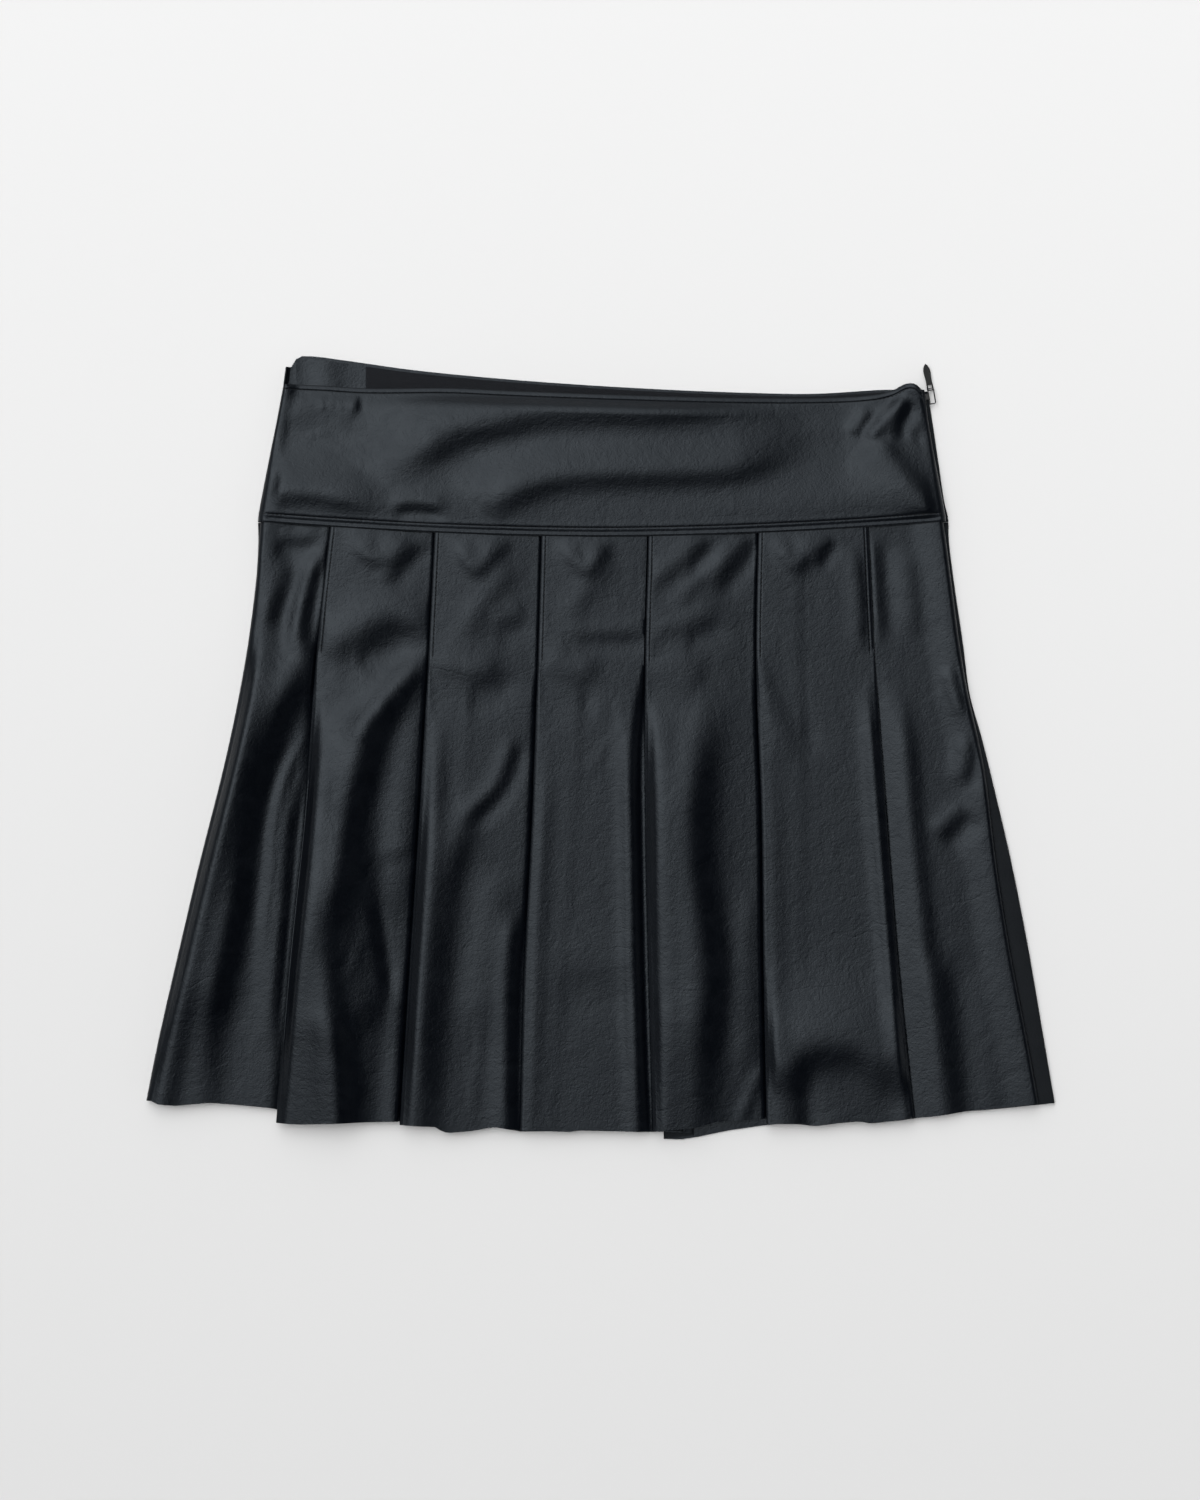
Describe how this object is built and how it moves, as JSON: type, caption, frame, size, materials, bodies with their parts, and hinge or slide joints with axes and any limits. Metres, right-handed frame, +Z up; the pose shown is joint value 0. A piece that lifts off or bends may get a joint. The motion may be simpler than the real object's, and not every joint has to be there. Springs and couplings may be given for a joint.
{
  "type": "pleated leather mini skirt",
  "caption": "Laid-flat mini skirt with a stitched yoke, stitched-down pleats released below the hip, a raw-cut hem and a concealed side zip.",
  "frame": {"origin": "on the surface the skirt lies on, under the middle of its bounding box", "axes": "+X across the skirt towards the zip, +Y towards the waist, +Z up from the surface through the back and then the front"},
  "size_m": [0.519, 0.4474, 0.0126],
  "materials": {
    "leather": "satin black, fine grain",
    "facing": "matte black lining cloth",
    "zip_tape": "black woven tape",
    "zip_teeth": "black nylon coil",
    "zip_metal": "black enamel, satin"
  },
  "bodies": {
    "garment": {"skirt_front": "leather", "skirt_back": "leather", "yoke_front": "leather", "yoke_back": "leather", "waist_facing_side": "leather", "waist_facing_back": "facing", "zip_tape": "zip_tape", "zip_chain": "zip_teeth", "zip_slider": "zip_metal"},
    "pull": {"zip_pull": "zip_metal"}
  },
  "joints": [
    {"name": "pull_hinge", "type": "hinge", "parent": "garment", "child": "pull", "pos_m": [0.18852, 0.20414, 0.00305], "axis": [0.7479, 0.1673, -0.6424], "range_deg": [0, 140]}
  ]
}
